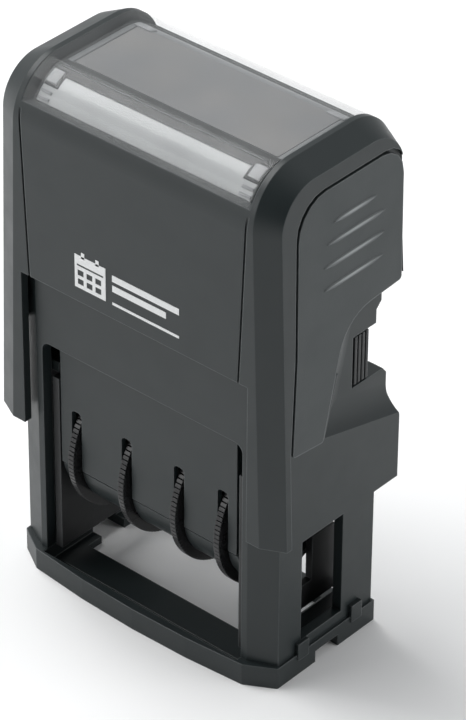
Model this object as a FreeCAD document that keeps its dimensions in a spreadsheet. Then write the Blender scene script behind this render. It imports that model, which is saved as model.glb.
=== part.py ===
import FreeCAD, Part
import math
import os

import Sketcher
from FreeCAD import Placement, Rotation, Vector

# Self-inking rotary date stamp, in millimetres.
# X runs across the front, the front looks along -Y, Z is up.
# The origin lies on the paper, under the middle of the stamp.

doc = FreeCAD.newDocument("date_stamp")
dims = doc.addObject("Spreadsheet::Sheet", "dims")

DIMENSIONS = (
    ("stroke", 15.0, "travel of the cap"),
    ("slack", 0.3, "gap between pieces that slide past each other"),
    ("foot_half_width", 23.8, "half width of the foot"),
    ("foot_front", 12.9, "front of the foot beside the bow"),
    ("foot_bow", 1.1, "how far the front bar bows out"),
    ("foot_rear", 10.2, "rear of the foot"),
    ("foot_height", 3.5, "height of the foot ring"),
    ("corner_width", 4.35, "width of the cut front corners of the foot"),
    ("corner_depth", 2.55, "depth of the cut front corners of the foot"),
    ("paper_half_width", 16.5, "half width of the paper opening"),
    ("paper_front", 5.25, "front edge of the paper opening"),
    ("paper_rear", 7.6, "rear edge of the paper opening"),
    ("frame_half_width", 23.4, "half width of the frame"),
    ("frame_front", 11.8, "front face of the frame"),
    ("frame_rear", 9.9, "rear edge of the frame's side walls"),
    ("frame_wall", 1.6, "side wall of the frame"),
    ("panel_wall", 1.05, "front panel of the frame"),
    ("panel_bottom", 39.4, "lower edge of the front panel"),
    ("post_inner", 18.3, "inner edge of the front posts"),
    ("shoulder_height", 46.5, "top of the full-width frame"),
    ("frame_top", 57.5, "top of the narrow frame"),
    ("upper_half_width", 23.0, "half width of the narrow frame"),
    ("scoop_depth", 2.0, "depth of the finger scoops"),
    ("grip_floor", 40.3, "floor of the openings for the pad's grips"),
    ("grip_roof", 48.6, "roof of the openings for the pad's grips"),
    ("grip_front", 6.9, "front edge of the openings for the pad's grips"),
    ("wing_depth", 14.9, "rear reach of the frame's wings"),
    ("wing_bottom", 22.3, "underside of the frame's wings"),
    ("cap_front", 13.4, "front face of the cap"),
    ("cap_rear", 14.3, "rear face of the cap"),
    ("cap_wall", 1.3, "wall of the cap"),
    ("cap_top", 82.5, "top of the cap"),
    ("cap_round", 8.0, "radius of the cap's upper front and rear corners"),
    ("cap_side_low", 27.07, "half width of the cap's side planes carried down to the paper"),
    ("cap_lean", 1.935, "inward lean of the cap's sides in degrees"),
    ("leg_bottom", 25.5, "lower end of the cap's front legs"),
    ("leg_inner", 20.4, "inner side of the cap's front legs"),
    ("arch_half_width", 21.9, "half width of the cap's rear arch"),
    ("front_bottom", 50.7, "lower edge of the cap's front wall"),
    ("rear_bottom", 58.0, "lower end of the cap's rear corners"),
    ("rear_arch", 64.0, "lower edge of the cap's rear wall between its corners"),
    ("window_bottom", 77.7, "lower edge of the index window"),
    ("window_half_width", 19.9, "half width of the index window"),
    ("deck_bottom", 76.0, "underside of the cap's deck"),
    ("axle_height", 25.0, "height of the block's turning axis"),
    ("axle_back", 1.5, "distance of the turning axis behind the middle"),
    ("pin_reach", 7.2, "distance from the turning axis to the turning pin"),
    ("pin_radius", 0.9, "radius of the turning pins"),
    ("trunnion_radius", 2.0, "radius of the block's trunnions"),
    ("cheek_inner", 14.45, "inner face of the yoke cheeks"),
    ("cheek_outer", 15.15, "outer face of the yoke cheeks"),
    ("lug_inner", 15.5, "inner face of the guard's lugs"),
    ("face_reach", 10.0, "distance from the turning axis to the printing face"),
    ("wheel_height", 20.67, "height of the thumb wheels' axle"),
    ("wheel_radius", 11.65, "radius of the thumb wheels"),
    ("wheel_width", 1.0, "thickness of the thumb wheels"),
    ("hub_radius", 3.4, "radius of the wheel hubs under the bands"),
    ("rod_radius", 1.5, "radius of the thumb wheels' axle"),
    ("guard_front", 10.45, "front face of the band guard"),
    ("guard_wall", 0.9, "thickness of the band guard"),
    ("guard_half_width", 16.2, "half width of the band guard"),
    ("guard_bottom", 19.3, "lower end of the band guard"),
    ("shroud_radius", 10.3, "outer radius of the wheel shroud"),
    ("shroud_wall", 0.8, "thickness of the wheel shroud"),
    ("slot_top", 29.0, "top of the wheel slots"),
    ("slot_width", 1.9, "width of the wheel slots"),
    ("pad_face", 35.02, "underside of the ink pad"),
    ("spring_radius", 3.2, "mean radius of the return springs"),
    ("spring_wire", 0.8, "wire diameter of the return springs"),
    ("spring_offset", 11.5, "distance of the springs from the middle"),
)

WHEEL_PLACES = (-13.45, -4.06, 5.59, 13.55)
BAND_SPANS = ((-12.6, -9.1), (-8.5, -4.9), (-3.2, 4.7), (6.45, 12.7))
NUMBER_WORDS = ("one", "two", "three", "four")
TOOTH_COUNT = 104
TOOTH_HALF = 0.17
SLOT_SHIFT = 0.15
SHROUD_START = 190.5
SHROUD_END = 318.0
BRIDGE_START = 311.0
BRIDGE_RADIUS = 12.9

for row, (alias, value, note) in enumerate(DIMENSIONS, 1):
    dims.set("A%d" % row, note)
    dims.set("B%d" % row, repr(value))
    dims.setAlias("B%d" % row, alias)
doc.recompute()

exported = []


# ---------------------------------------------------------------- helpers
def text_of(value):
    """Write a number or an expression as expression text."""
    return value if isinstance(value, str) else repr(float(value))


def number_of(value):
    """Work out the number behind a number or an expression."""
    if isinstance(value, str):
        result = dims.evalExpression(value)
        return float(getattr(result, "Value", result))
    return float(value)


def d(name):
    """Name a dimension of the sheet inside an expression."""
    return "dims.%s" % name


def new_body(label):
    body = doc.addObject("PartDesign::Body", label)
    body.Label = label
    return body


def origin_plane(body, role):
    for feature in body.Origin.OriginFeatures:
        if feature.Role == role:
            return feature
    raise ValueError(role)


def new_sketch(body, name, role, offset):
    sketch = body.newObject("Sketcher::SketchObject", name)
    sketch.AttachmentSupport = [(origin_plane(body, role), "")]
    sketch.MapMode = "FlatFace"
    sketch.setExpression("AttachmentOffset.Base.z", text_of(offset))
    return sketch


def pin_point(sketch, geometry, end, point):
    """Hold one end of a line at a stated place, bound to its expressions."""
    for kind, value in zip(("DistanceX", "DistanceY"), point):
        index = sketch.addConstraint(
            Sketcher.Constraint(kind, -1, 1, geometry, end, number_of(value)))
        if isinstance(value, str):
            sketch.setExpression("Constraints[%d]" % index, value)


def add_polygon(sketch, points):
    places = [Vector(number_of(u), number_of(v), 0) for u, v in points]
    first = sketch.GeometryCount
    count = len(places)
    for i in range(count):
        sketch.addGeometry(Part.LineSegment(places[i], places[(i + 1) % count]), False)
    for i in range(count):
        sketch.addConstraint(
            Sketcher.Constraint("Coincident", first + i, 2, first + (i + 1) % count, 1))
    for i in range(count):
        pin_point(sketch, first + i, 1, points[i])


def add_circle(sketch, centre, radius):
    place = Vector(number_of(centre[0]), number_of(centre[1]), 0)
    index = sketch.addGeometry(Part.Circle(place, Vector(0, 0, 1), number_of(radius)), False)
    pin_point(sketch, index, 3, centre)
    held = sketch.addConstraint(Sketcher.Constraint("Radius", index, number_of(radius)))
    if isinstance(radius, str):
        sketch.setExpression("Constraints[%d]" % held, radius)


def outline(body, name, role, offset, polygons=(), circles=()):
    sketch = new_sketch(body, name, role, offset)
    for points in polygons:
        add_polygon(sketch, points)
    for centre, radius in circles:
        add_circle(sketch, centre, radius)
    doc.recompute()
    return sketch


def rectangle(u0, u1, v0, v1):
    return ((u0, v0), (u1, v0), (u1, v1), (u0, v1))


def negative(value):
    return "-(%s)" % value if isinstance(value, str) else -value


def flipped(points):
    """Mirror an outline across its vertical axis."""
    return tuple((negative(u), v) for u, v in reversed(points))


def pad(body, sketch, length, both_ways=False):
    feature = body.newObject("PartDesign::Pad", sketch.Name + "_pad")
    feature.Profile = sketch
    feature.Midplane = both_ways
    feature.setExpression("Length", text_of(length))
    sketch.Visibility = False
    doc.recompute()
    return feature


def pocket(body, sketch, length=None, both_ways=False, forward=True):
    """Cut a sketch's outline out of its body; forward follows the sketch normal."""
    before = body.Shape.Volume
    feature = body.newObject("PartDesign::Pocket", sketch.Name + "_cut")
    feature.Profile = sketch
    feature.Midplane = both_ways
    feature.Reversed = forward
    if length is None:
        feature.Type = 1
    else:
        feature.setExpression("Length", text_of(length))
    sketch.Visibility = False
    doc.recompute()
    if body.Shape.Volume > before - 1e-6:
        raise RuntimeError("%s cuts nothing" % feature.Name)
    return feature


def dress(body, kind, name, size, chooser):
    """Round or bevel the edges of the body's tip that the chooser accepts."""
    tip = body.Tip
    names = ["Edge%d" % (i + 1) for i, edge in enumerate(tip.Shape.Edges) if chooser(edge)]
    if not names:
        raise RuntimeError("%s finds no edge" % name)
    feature = body.newObject("PartDesign::%s" % kind, name)
    feature.Base = (tip, names)
    prop = "Radius" if kind == "Fillet" else "Size"
    feature.setExpression(prop, text_of(size))
    doc.recompute()
    if not feature.isValid():
        raise RuntimeError("%s failed" % name)
    return feature


def straight_along(edge, axis):
    """Tell whether an edge is a straight line along one axis."""
    if edge.Curve.TypeId != "Part::GeomLine":
        return False
    sizes = {"x": edge.BoundBox.XLength, "y": edge.BoundBox.YLength, "z": edge.BoundBox.ZLength}
    others = [size for name, size in sizes.items() if name != axis]
    return sizes[axis] > 0.2 and max(others) < 1e-4


def near(a, b, within=0.05):
    return abs(a - b) < within


def place(thing, x, y, z, rotation=None):
    for axis, value in zip("xyz", (x, y, z)):
        thing.setExpression("Placement.Base.%s" % axis, text_of(value))
    if rotation is not None:
        thing.Placement = Placement(thing.Placement.Base, rotation)


def block(name, x, y, z):
    """Make a box from three (low, high) pairs."""
    thing = doc.addObject("Part::Box", name)
    for prop, (low, high) in zip(("Length", "Width", "Height"), (x, y, z)):
        thing.setExpression(prop, "%s - (%s)" % (text_of(high), text_of(low)))
    place(thing, x[0], y[0], z[0])
    return thing


ALONG_X = Rotation(Vector(0, 1, 0), 90)


def rod(name, x, y, z, radius):
    """Make a cylinder along X between the (low, high) pair x."""
    thing = doc.addObject("Part::Cylinder", name)
    thing.setExpression("Radius", text_of(radius))
    thing.setExpression("Height", "%s - (%s)" % (text_of(x[1]), text_of(x[0])))
    place(thing, x[0], y, z, ALONG_X)
    return thing


def upright(name, x, y, z, radius):
    """Make a cylinder along Z between the (low, high) pair z."""
    thing = doc.addObject("Part::Cylinder", name)
    thing.setExpression("Radius", text_of(radius))
    thing.setExpression("Height", "%s - (%s)" % (text_of(z[1]), text_of(z[0])))
    place(thing, x, y, z[0])
    return thing


def joined(name, pieces):
    thing = doc.addObject("Part::MultiFuse", name)
    thing.Shapes = pieces
    return thing


def less(name, base, tools):
    thing = doc.addObject("Part::Cut", name)
    thing.Base = base
    thing.Tool = tools[0] if len(tools) == 1 else joined(name + "_tools", tools)
    return thing


def keep(thing, label):
    """Give a finished piece its node name and list it for export."""
    thing.Label = label
    exported.append(thing)
    return thing


def side_word(side):
    return "left" if side < 0 else "right"


def span(side, low, high):
    """Give the (low, high) pair of a span at one side of the middle."""
    if side > 0:
        return (low, high)
    return (negative(high), negative(low))


# ------------------------------------------------------------- foot ring
def corner_outline(half_width, front, rear, width, depth, bow=None):
    """Give a plan outline with cut front corners and an optional bowed front."""
    inner = "%s - %s" % (half_width, width)
    points = [("-(%s)" % half_width, rear), ("-(%s)" % half_width, "-(%s) + %s" % (front, depth)),
              ("-(%s)" % inner, "-(%s)" % front)]
    if bow is not None:
        for share in (-0.5, 0.0, 0.5):
            drop = 1.0 - share ** 2
            points.append(("%r * (%s)" % (share, inner), "-(%s) - %s * %r" % (front, bow, drop)))
    points += [(inner, "-(%s)" % front), (half_width, "-(%s) + %s" % (front, depth)), (half_width, rear)]
    return tuple(points)


def make_foot_ring():
    body = new_body("foot_core")
    rim = corner_outline(d("foot_half_width"), d("foot_front"), d("foot_rear"),
                         d("corner_width"), d("corner_depth"), d("foot_bow"))
    pad(body, outline(body, "foot_plan", "XY_Plane", 0, [rim]), d("foot_height"))
    opening = rectangle("-dims.paper_half_width", d("paper_half_width"), "-dims.paper_front", d("paper_rear"))
    pocket(body, outline(body, "foot_opening", "XY_Plane", -1, [opening]), 10)
    ledge = rectangle("-dims.post_inner + 0.1", "dims.post_inner - 0.1", "-dims.foot_front + 0.3", "0")
    pocket(body, outline(body, "foot_ledge", "XY_Plane", 1.2, [ledge]), 10)
    gutter = rectangle("-dims.post_inner + 1.2", "dims.post_inner - 1.2", "-dims.foot_front + 0.6", -10.3)
    pocket(body, outline(body, "foot_gutter", "XY_Plane", 0.6, [gutter]), 10)
    rear_ledge = rectangle("-dims.post_inner + 0.1", "dims.post_inner - 0.1", 0, "dims.foot_rear + 1")
    pocket(body, outline(body, "foot_rear_ledge", "XY_Plane", 1.6, [rear_ledge]), 10)
    notch = rectangle(-2.4, 2.4, -1, 1.9)
    pocket(body, outline(body, "foot_notch", "YZ_Plane", 0, [notch]), 60, both_ways=True)
    dress(body, "Fillet", "foot_soft_edges", 0.4, lambda e: straight_along(e, "z")
          and e.BoundBox.ZLength > 3.0 and abs(e.BoundBox.XMin) > 19.0 and e.BoundBox.YMin < 0)
    clips = []
    for side in (-1, 1):
        reach = span(side, "dims.frame_half_width + 0.05", "dims.foot_half_width + 0.25")
        for index, (low, high) in enumerate(((-6.3, -4.1), (5.0, 7.2))):
            clips.append(block("foot_clip_%s_%d" % (side_word(side), index), reach, (low, high), (2.6, 5.4)))
    whole = joined("foot_ring_whole", [body] + clips)
    return keep(whole, "foot_ring")


# ----------------------------------------------------------------- frame
def make_frame_shell():
    body = new_body("frame_shell_core")
    half = d("frame_half_width")
    inner_side = "dims.frame_half_width - dims.frame_wall"
    inner_front = "-dims.frame_front + dims.panel_wall"
    plan = (("-" + half, d("frame_rear")), ("-" + half, -9.85), (-19.3, "-dims.frame_front"),
            (19.3, "-dims.frame_front"), (half, -9.85), (half, d("frame_rear")),
            (inner_side, d("frame_rear")), (inner_side, -9.2), (18.9, inner_front),
            (-18.9, inner_front), ("-(%s)" % inner_side, -9.2), ("-(%s)" % inner_side, d("frame_rear")))
    pad(body, outline(body, "frame_plan", "XY_Plane", d("foot_height"), [plan]),
        "dims.frame_top - dims.foot_height")
    mouth = rectangle("-dims.post_inner", d("post_inner"), "dims.foot_height - 1", d("panel_bottom"))
    pocket(body, outline(body, "frame_mouth", "XZ_Plane", 10, [mouth]), 5)
    # the upper part is narrower, so that the pressed cap can pass outside it
    for side in (-1, 1):
        strip = rectangle(d("upper_half_width"), 30, d("shoulder_height"), "dims.frame_top + 1")
        if side < 0:
            strip = flipped(strip)
        pocket(body, outline(body, "frame_step_" + side_word(side), "XZ_Plane", -20, [strip]), 40)
    window = rectangle(-5.2, 3.4, 5.3, 22.2)
    pocket(body, outline(body, "frame_windows", "YZ_Plane", 0, [window]), 60, both_ways=True)
    dress(body, "Fillet", "mouth_corners", 1.4, lambda e: straight_along(e, "y")
          and near(e.BoundBox.ZMin, number_of(d("panel_bottom"))))
    pieces = [body]
    for side in (-1, 1):
        pieces += make_wing(side)
    pieces.append(block("spring_floor", ("-22", 22), (-8.6, 2.2), (44.9, "dims.shoulder_height")))
    for side in (-1, 1):
        pieces.append(upright("spring_peg_" + side_word(side), "%d * dims.spring_offset" % side, -1.0,
                              ("dims.shoulder_height - 0.1", "dims.shoulder_height + 4"), 2.3))
    whole = joined("frame_whole", pieces)
    tools = []
    for side in (-1, 1):
        tools.append(make_scoop(side))
        tools.append(make_grip_opening(side))
    return keep(less("frame_cut", whole, tools), "frame_shell")


def make_wing(side):
    """Make the pieces of the frame that stand behind and inside one side wall."""
    word = side_word(side)
    wing = new_body("frame_wing_" + word)
    floor = d("grip_floor")
    profile = ((8.3, d("wing_bottom")), (d("wing_depth"), d("wing_bottom")), (d("wing_depth"), 32.6),
               (14.2, 36.0), (14.2, 39.3), (13.4, floor), (-2.4, floor), (-2.4, 33.2), (8.3, 33.2))
    start = "18.9" if side > 0 else "-dims.frame_half_width"
    pad(wing, outline(wing, "wing_profile_" + word, "YZ_Plane", start, [profile]),
        "dims.frame_half_width - 18.9")
    hollow = rectangle(18.0, 21.8, "dims.wing_bottom - 1", 33.2)
    if side < 0:
        hollow = flipped(hollow)
    pocket(wing, outline(wing, "wing_hollow_" + word, "XZ_Plane", -13.4, [hollow]), 20)
    # wall behind the scoop, with the hood over the pad's grip
    back = new_body("frame_back_" + word)
    front = d("grip_front")
    roof = d("grip_roof")
    hood = ((-2.4, floor + " - 0.1"), (front, floor + " - 0.1"), (front, roof), (11.7, roof), (11.7, 50.8),
            (12.7, 51.8), (12.7, d("frame_top")), (-2.4, d("frame_top")))
    start = "19.3" if side > 0 else "-dims.upper_half_width"
    pad(back, outline(back, "hood_profile_" + word, "YZ_Plane", start, [hood]), "dims.upper_half_width - 19.3")
    return [
        wing,
        back,
        # rear return of the side wall
        block("frame_return_" + word, span(side, 19.6, 22.4), (8.6, d("frame_rear")), (d("foot_height"), 22.5)),
        # rail that carries the ink pad tray
        block("frame_rail_" + word, span(side, 17.4, 22.0), (-9.4, 9.0), (33.2, 34.9)),
        # stiffener behind the front post
        block("frame_heel_" + word, span(side, "dims.post_inner", 19.4), (-11.0, -10.0),
              (d("foot_height"), d("panel_bottom"))),
        # lug that holds the cam plate
        block("frame_lug_" + word, span(side, 17.85, 22.2), (7.2, 9.0), (24.2, 33.2)),
    ]


def make_scoop(side):
    """Make the tool that hollows the finger scoop, with softly rounded floor and front."""
    word = side_word(side)
    bar = doc.addObject("Part::Box", "scoop_bar_" + word)
    bar.Length, bar.Width, bar.Height = 8, 22, 30
    inner = "dims.frame_half_width - dims.scoop_depth"
    place(bar, inner if side > 0 else "-(%s) - 8" % inner, -2.0, 36.5, Rotation(Vector(1, 0, 0), -14.7))
    doc.recompute()
    inner_x = bar.Shape.BoundBox.XMin if side > 0 else bar.Shape.BoundBox.XMax
    chosen = []
    for index, edge in enumerate(bar.Shape.Edges):
        box = edge.BoundBox
        if not (near(box.XMin, inner_x) and near(box.XMax, inner_x)):
            continue
        middle = box.Center
        if box.YLength > 15 and middle.z < 45:
            chosen.append((index + 1, 5.0, 5.0))
        if box.ZLength > 15 and middle.y < 9:
            chosen.append((index + 1, 4.5, 4.5))
    soft = doc.addObject("Part::Fillet", "scoop_" + word)
    soft.Base = bar
    soft.Edges = chosen
    return soft


def make_grip_opening(side):
    """Make the tool that cuts the opening for one grip of the pad, round in front."""
    word = side_word(side)
    opening = block("grip_opening_" + word, span(side, 18.9, 30.0), (d("grip_front"), 16.0),
                    (d("grip_floor"), d("grip_roof")))
    doc.recompute()
    chosen = []
    for index, edge in enumerate(opening.Shape.Edges):
        if straight_along(edge, "x") and near(edge.BoundBox.YMin, number_of(d("grip_front"))):
            chosen.append((index + 1, 0.9, 0.9))
    soft = doc.addObject("Part::Fillet", "grip_opening_round_" + word)
    soft.Base = opening
    soft.Edges = chosen
    return soft


def make_cam_plate(side):
    word = side_word(side)
    body = new_body("cam_plate_" + word)
    face = rectangle(-10.4, 8.5, 3.7, 33.0)
    start = 16.6 if side > 0 else -17.75
    pad(body, outline(body, "cam_face_" + word, "YZ_Plane", start, [face]), 1.15)
    slot = rectangle("dims.axle_back - 2.25", "dims.axle_back + 2.25", "dims.axle_height - dims.stroke - 2.3",
                     "dims.axle_height + 2.3")
    pocket(body, outline(body, "cam_slot_" + word, "YZ_Plane", -18, [slot]), 36)
    # the pin leaves the slot to the rear in the middle of the stroke
    middle = "dims.axle_height - dims.stroke / 2"
    notch = rectangle(d("axle_back"), 12.0, middle + " - 2.5", middle + " + 2.5")
    pocket(body, outline(body, "cam_notch_" + word, "YZ_Plane", -18, [notch]), 36)
    return keep(body, "cam_plate_" + word)


# --------------------------------------------------------------- ink pad
def make_ink_pad():
    tray = block("tray_block", (-17.0, 17.0), (-8.4, 9.6), ("dims.pad_face + 0.5", 43.2))
    flange = []
    for side in (-1, 1):
        reach = span(side, 16.8, 18.5)
        flange.append(block("tray_flange_" + side_word(side), reach, (-8.2, 9.4), (35.0, 36.6)))
    arms = []
    low = "dims.grip_floor + 0.25"
    high = "dims.grip_roof - 0.25"
    start = "dims.grip_front + 0.55"
    for side in (-1, 1):
        word = side_word(side)
        arms.append(block("tray_bridge_" + word, span(side, 16.8, 20.2), (start, 10.3),
                          (low, "%s + 1.4" % low)))
        arms.append(block("tray_grip_" + word, span(side, 19.0, 20.6), (start, 10.3), (low, high)))
        for index in range(4):
            y = "%s + %r" % (start, 0.05 + 0.78 * index)
            arms.append(block("tray_rib_%s_%d" % (word, index), span(side, 20.5, 21.3), (y, "%s + 0.45" % y),
                              (low, "%s - 0.1" % high)))
    core = joined("tray_core", [tray] + flange + arms)
    hollow = block("tray_hollow", (-15.9, 15.9), (-7.3, 8.5), ("dims.pad_face", "dims.pad_face + 2.6"))
    top_hollow = block("tray_top_hollow", (-15.8, 15.8), (-7.2, 8.4), (39.4, 44.0))
    keep(less("tray_cut", core, [hollow, top_hollow]), "ink_pad_tray")
    felt = block("ink_pad_felt", (-15.8, 15.8), (-7.2, 8.4), (d("pad_face"), "dims.pad_face + 2.6"))
    keep(felt, "ink_pad_felt")


# ------------------------------------------------------------------- cap
def tilt_sketch(sketch, side):
    """Lay a YZ sketch on one leaning side plane of the cap."""
    turn = Rotation(Vector(1, 0, 0), -number_of(d("cap_lean")) * side)
    sketch.AttachmentOffset = Placement(sketch.AttachmentOffset.Base, turn)
    sketch.setExpression("AttachmentOffset.Base.z", "%d * dims.cap_side_low" % side)


# each corner of the grip panel: place on the side plane and radius
SIDE_ARCH = (((-4.1, 39.5), 0.4), ((0.85, 56.6), 7.0), ((12.1, 57.3), 0.5))
PANEL_CORNERS = (((-10.15, 40.1), 0.4),) + SIDE_ARCH + (
    ((12.6, 77.9), 4.2), ((-8.3, 77.9), 5.5), ((-9.0, 55.0), 0.0))
PANEL_RIBS = ((-1.7, 6.8, 72.6), (-3.0, 8.6, 69.7), (-3.6, 8.4, 66.4), (-3.6, 8.1, 63.0))
RIB_TAPER = 2.0
RIB_HALF = 0.32
GROOVE = 0.5


def grown(corners, amount):
    """Move every side of an anticlockwise outline outwards and give its new corners."""
    count = len(corners)
    sides = []
    for index in range(count):
        start = Vector(*corners[index][0], 0)
        along = (Vector(*corners[(index + 1) % count][0], 0) - start).normalize()
        sides.append((start + Vector(along.y, -along.x, 0) * amount, along))
    result = []
    for index in range(count):
        start, along = sides[index - 1]
        other, across = sides[index]
        gap = other - start
        reach = (gap.x * across.y - gap.y * across.x) / (along.x * across.y - along.y * across.x)
        corner = start + along * reach
        result.append(((corner.x, corner.y), corners[index][1]))
    return tuple(result)


def rounded(corners):
    """Turn corners with radii into outline points, each round sampled as an arc."""
    count = len(corners)
    points = []
    for index, (place_of, radius) in enumerate(corners):
        corner = Vector(*place_of, 0)
        if not radius:
            points.append(place_of)
            continue
        back = (Vector(*corners[index - 1][0], 0) - corner).normalize()
        ahead = (Vector(*corners[(index + 1) % count][0], 0) - corner).normalize()
        half = back.getAngle(ahead) / 2
        centre = corner + (back + ahead).normalize() * (radius / math.sin(half))
        first = corner + back * (radius / math.tan(half)) - centre
        turn = math.pi - 2 * half
        if back.x * ahead.y - back.y * ahead.x > 0:
            turn = -turn
        steps = max(2, int(radius))
        for step in range(steps + 1):
            spoke = Rotation(Vector(0, 0, 1), math.degrees(turn) * step / steps).multVec(first)
            points.append((centre.x + spoke.x, centre.y + spoke.y))
    return tuple(points)


def cap_profile(front, rear, bottom, top):
    return rectangle("-(%s)" % front, rear, bottom, top)


def make_cap_housing():
    body = new_body("cap_housing")
    profile = cap_profile(d("cap_front"), d("cap_rear"), d("leg_bottom"), d("cap_top"))
    pad(body, outline(body, "cap_profile", "YZ_Plane", 0, [profile]), 60, both_ways=True)
    for side in (-1, 1):
        word = side_word(side)
        sketch = outline(body, "cap_side_" + word, "YZ_Plane", 0, [rectangle(-40, 40, 0, 120)])
        tilt_sketch(sketch, side)
        doc.recompute()
        pocket(body, sketch, 20, forward=side > 0)
    top = number_of(d("cap_top"))
    dress(body, "Fillet", "cap_round", d("cap_round"),
          lambda e: near(e.BoundBox.ZMin, top) and e.BoundBox.XLength > 30)
    dress_sides(body)
    hollow_cap(body)
    trim_cap(body)
    return keep(body, "cap_housing")


def dress_sides(body):
    """Bevel the loop round each side face, wide on the front and narrow on the side."""
    for side in (1, -1):
        tip = body.Tip
        names = []
        for index, edge in enumerate(tip.Shape.Edges):
            box = edge.BoundBox
            at_side = min(box.XMin * side, box.XMax * side) > 24 and box.XLength < 3
            if at_side and not near(box.ZMax, number_of(d("leg_bottom"))):
                names.append("Edge%d" % (index + 1))
        feature = body.newObject("PartDesign::Chamfer", "cap_bevel_" + side_word(side))
        feature.Base = (tip, names)
        feature.ChamferType = "Two distances"
        feature.Size = 3.5
        feature.Size2 = 1.75
        doc.recompute()
        if not feature.isValid():
            raise RuntimeError("cap bevel failed")


def hollow_cap(body):
    wall_front = "dims.cap_front - dims.cap_wall"
    wall_rear = "dims.cap_rear - dims.cap_wall"
    low = cap_profile(wall_front, wall_rear, "dims.leg_bottom - 1", "dims.shoulder_height + dims.stroke + 0.3")
    pocket(body, outline(body, "cap_hollow_low", "YZ_Plane", 0, [low]),
           "2 * (dims.frame_half_width + dims.slack + 0.05)", both_ways=True)
    middle = cap_profile(wall_front, wall_rear, 61.0, "dims.frame_top + dims.stroke + 0.3")
    pocket(body, outline(body, "cap_hollow_middle", "YZ_Plane", 0, [middle]),
           "2 * (dims.upper_half_width + dims.slack)", both_ways=True)
    high = cap_profile(wall_front, wall_rear, 72.0, d("deck_bottom"))
    pocket(body, outline(body, "cap_hollow_high", "YZ_Plane", 0, [high]), 45.2, both_ways=True)


def trim_cap(body):
    # front wall ends high up between the two legs
    front = rectangle("-dims.leg_inner", d("leg_inner"), "dims.leg_bottom - 1", d("front_bottom"))
    pocket(body, outline(body, "cap_front_cut", "XZ_Plane", 8, [front]), 10)
    rear = rectangle(-40, 40, "dims.leg_bottom - 1", d("rear_bottom"))
    pocket(body, outline(body, "cap_rear_cut", "XZ_Plane", -30, [rear]), 18.2)
    # the pad leaves through the rear wall's arch, even with the cap pressed
    arch_rear = rectangle("-dims.arch_half_width", d("arch_half_width"), "dims.rear_bottom - 1", d("rear_arch"))
    pocket(body, outline(body, "cap_rear_arch", "XZ_Plane", -30, [arch_rear]), 18.2)
    # sides: a narrow leg in front, then the slanted edge behind
    leg_end = number_of(d("leg_bottom")) - 1.0
    arch = (((-10.65, leg_end), 0.0), ((20.0, leg_end), 0.0), ((20.0, 57.5), 0.0)) + SIDE_ARCH[::-1]
    arch += (((-10.65, 40.1), 0.0),)
    pocket(body, outline(body, "cap_side_cut", "YZ_Plane", 0, [rounded(arch)]), 80, both_ways=True)
    # the bay of the index window
    bay = rectangle("-dims.window_half_width - 0.05", "dims.window_half_width + 0.05",
                    d("window_bottom"), "dims.cap_top + 2")
    pocket(body, outline(body, "window_bay", "XZ_Plane", -20, [bay]), 40)
    # fine lines down the front, and the recess of each grip panel
    lines = []
    for side_sign in (-1, 1):
        line = ((19.85, 78.5), (20.2, 78.5), (18.95, 50), (18.6, 50))
        lines.append(line if side_sign > 0 else flipped(line))
    pocket(body, outline(body, "front_lines", "XZ_Plane", "dims.cap_front - 0.35", lines), 2)
    for side_sign in (-1, 1):
        sketch = outline(body, "panel_recess_" + side_word(side_sign), "YZ_Plane", 0,
                         [rounded(grown(PANEL_CORNERS, GROOVE))])
        tilt_sketch(sketch, side_sign)
        doc.recompute()
        pocket(body, sketch, 0.7, forward=side_sign < 0)


def make_grip_panel(side):
    word = side_word(side)
    body = new_body("grip_panel_" + word)
    sketch = outline(body, "panel_face_" + word, "YZ_Plane", 0, [rounded(PANEL_CORNERS)])
    tilt_sketch(sketch, side)
    doc.recompute()
    feature = pad(body, sketch, 0.68)
    feature.Reversed = side > 0
    ribs = []
    for front, rear, height in PANEL_RIBS:
        near_end = front + RIB_TAPER
        far_end = rear - RIB_TAPER
        ribs.append(((front, height), (near_end, height - RIB_HALF), (far_end, height - RIB_HALF),
                     (rear, height), (far_end, height + RIB_HALF), (near_end, height + RIB_HALF)))
    rib_sketch = outline(body, "panel_ribs_" + word, "YZ_Plane", 0, ribs)
    tilt_sketch(rib_sketch, side)
    doc.recompute()
    raised = pad(body, rib_sketch, 0.12)
    raised.Reversed = side < 0
    doc.recompute()
    return keep(body, "grip_panel_" + word)


def window_profile(shrink, bottom):
    return cap_profile("dims.cap_front - %r" % shrink, "dims.cap_rear - %r" % shrink, bottom,
                       "dims.cap_top - %r" % shrink)


def round_top(body, name, radius):
    top = body.Shape.BoundBox.ZMax
    dress(body, "Fillet", name, radius, lambda e: near(e.BoundBox.ZMin, top) and e.BoundBox.XLength > 20)


def dome(name, shrink, bottom, half_width):
    """Make a solid that follows the cap's rounded top at a stated depth."""
    body = new_body(name)
    start = "dims.window_bottom - 10"
    pad(body, outline(body, name + "_profile", "YZ_Plane", 0, [window_profile(shrink, start)]),
        "2 * (%s)" % half_width, both_ways=True)
    round_top(body, name + "_round", "dims.cap_round - %r" % shrink)
    below = rectangle(-30, 30, "%s - 1" % start, bottom)
    pocket(body, outline(body, name + "_foot", "YZ_Plane", 0, [below]), 80, both_ways=True)
    return body


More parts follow.
